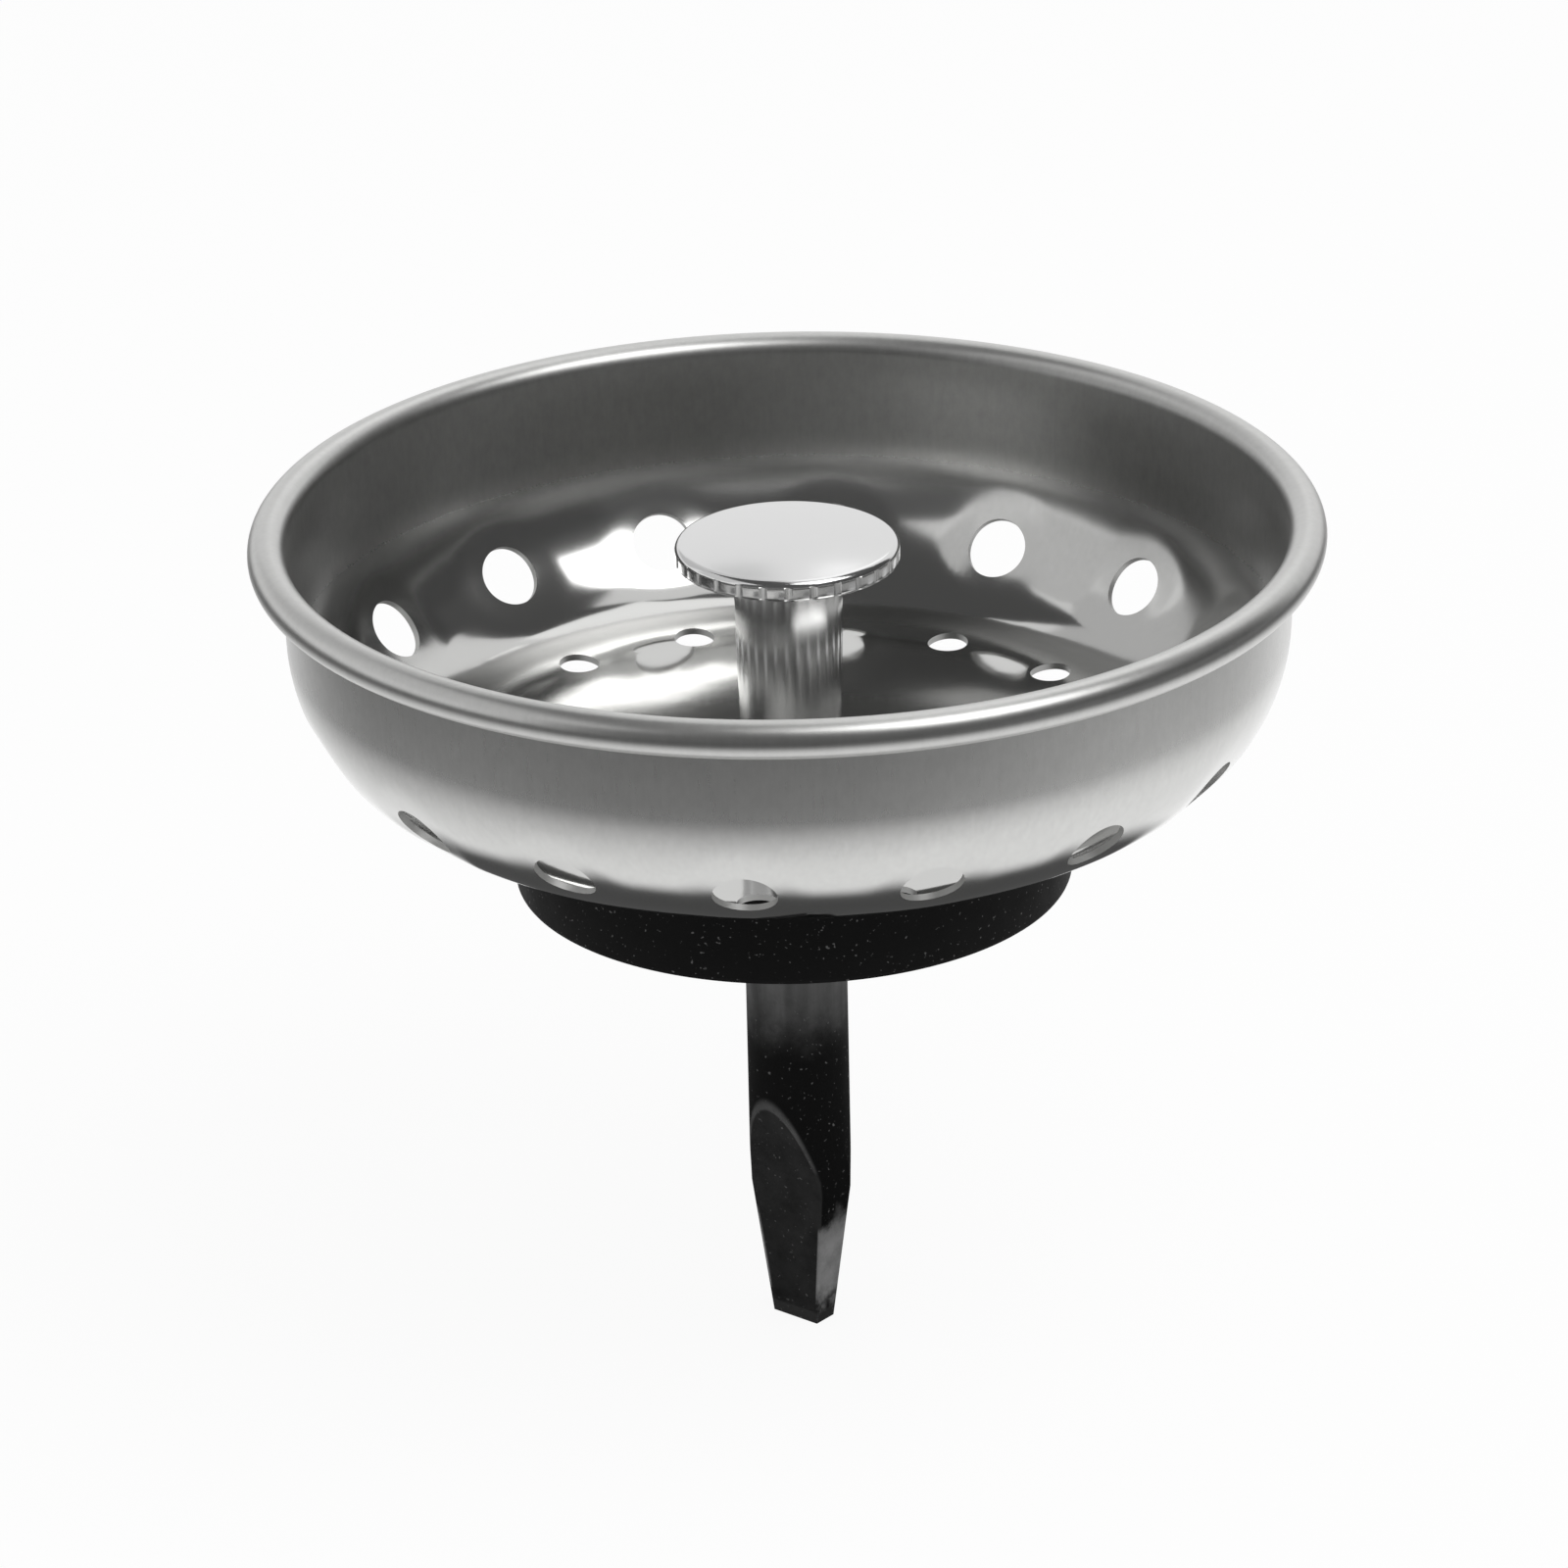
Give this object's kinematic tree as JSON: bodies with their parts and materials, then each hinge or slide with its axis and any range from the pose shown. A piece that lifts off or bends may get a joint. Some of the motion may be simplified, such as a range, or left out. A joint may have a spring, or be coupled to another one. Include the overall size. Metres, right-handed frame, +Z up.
{
  "type": "sink strainer basket",
  "caption": "Pressed steel basket with a curled rim, drain holes, a coin-edged pull knob, and a rubber stopper and peg below that seal and hold it in a kitchen sink drain.",
  "frame": {"origin": "on the axis, in the plane of the stopper's sealing face, where the post starts", "axes": "+Z up along the axis from the post to the knob; the picture looks along +Y with +X to the right"},
  "size_m": [0.0826, 0.0826, 0.0679],
  "materials": {
    "stainless": "satin wall, polished floor",
    "knob_chrome": "polished plating, satin top",
    "plated_steel": "zinc plated",
    "black_rubber": "matte"
  },
  "bodies": {
    "stem": {"stud": "plated_steel", "post": "black_rubber", "clamp_nut": "plated_steel", "backing_washer": "plated_steel", "stopper": "black_rubber"},
    "basket": {"basket": "stainless"},
    "knob": {"knob": "knob_chrome"}
  },
  "joints": [
    {"name": "basket_turn", "type": "hinge", "parent": "stem", "child": "basket", "pos_m": [0, 0, 0.0086], "axis": [0, 0, 1], "range_deg": [0, 2160]},
    {"name": "knob_rise", "type": "slide", "parent": "basket", "child": "knob", "axis": [0, 0, 1], "range_m": [0, 0.0064]}
  ],
  "couplings": [
    {"joint": "knob_rise", "follows": "basket_turn", "m_per_rad": 0.00016844}
  ]
}
